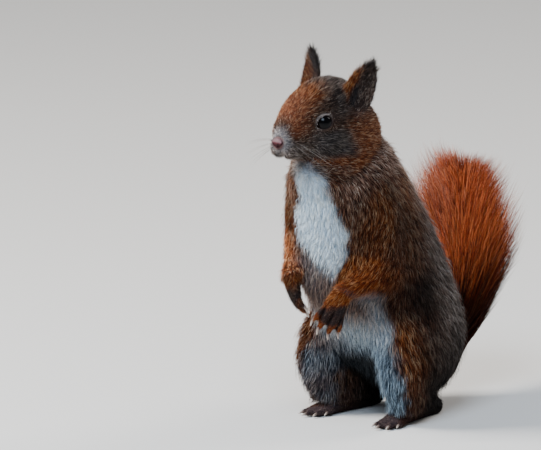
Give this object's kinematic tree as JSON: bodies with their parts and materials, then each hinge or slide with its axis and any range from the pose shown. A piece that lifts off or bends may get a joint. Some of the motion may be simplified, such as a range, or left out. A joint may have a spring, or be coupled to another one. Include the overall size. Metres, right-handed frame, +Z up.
{
  "type": "red squirrel model",
  "caption": "Life-size red squirrel standing up on its hind feet, paws hanging before its white chest, bushy tail raised behind its back.",
  "frame": {"origin": "centre of the bounding box's footprint, on the floor", "axes": "+Z up, -Y the way the squirrel faces, +X its left side"},
  "size_m": [0.0824, 0.1674, 0.2066],
  "materials": {
    "grizzled_fur": "grey-brown fur with paler hair ends",
    "russet_fur": "orange-red short fur",
    "white_fur": "soft white fur of the bib and belly",
    "ear_fur": "dark brown fur with an orange rim",
    "tail_fur": "long loose red fur",
    "paw_fur": "short dark fur",
    "nose_skin": "moist bare skin",
    "horn": "smooth pale horn",
    "eye": "wet black"
  },
  "bodies": {
    "root": {"abdomen": "white_fur", "chest": "white_fur", "claw_foot_left_1": "horn", "claw_foot_left_2": "horn", "claw_foot_left_3": "horn", "claw_foot_left_4": "horn", "claw_foot_left_5": "horn", "claw_foot_right_1": "horn", "claw_foot_right_2": "horn", "claw_foot_right_3": "horn", "claw_foot_right_4": "horn", "claw_foot_right_5": "horn", "claw_hand_left_1": "horn", "claw_hand_left_2": "horn", "claw_hand_left_3": "horn", "claw_hand_left_4": "horn", "claw_hand_right_1": "horn", "claw_hand_right_2": "horn", "claw_hand_right_3": "horn", "claw_hand_right_4": "horn", "ear_left": "ear_fur", "ear_right": "ear_fur", "eye_left": "eye", "eye_right": "eye", "foot_left": "paw_fur", "foot_right": "paw_fur", "forearm_left": "russet_fur", "forearm_right": "russet_fur", "hand_left": "paw_fur", "hand_right": "paw_fur", "head": "grizzled_fur", "neck": "grizzled_fur", "nose": "nose_skin", "shin_left": "russet_fur", "shin_right": "russet_fur", "tail_1": "tail_fur", "tail_2": "tail_fur", "tail_3": "tail_fur", "tail_4": "tail_fur", "thigh_left": "grizzled_fur", "thigh_right": "grizzled_fur", "upper_arm_left": "russet_fur", "upper_arm_right": "russet_fur"}
  },
  "joints": []
}
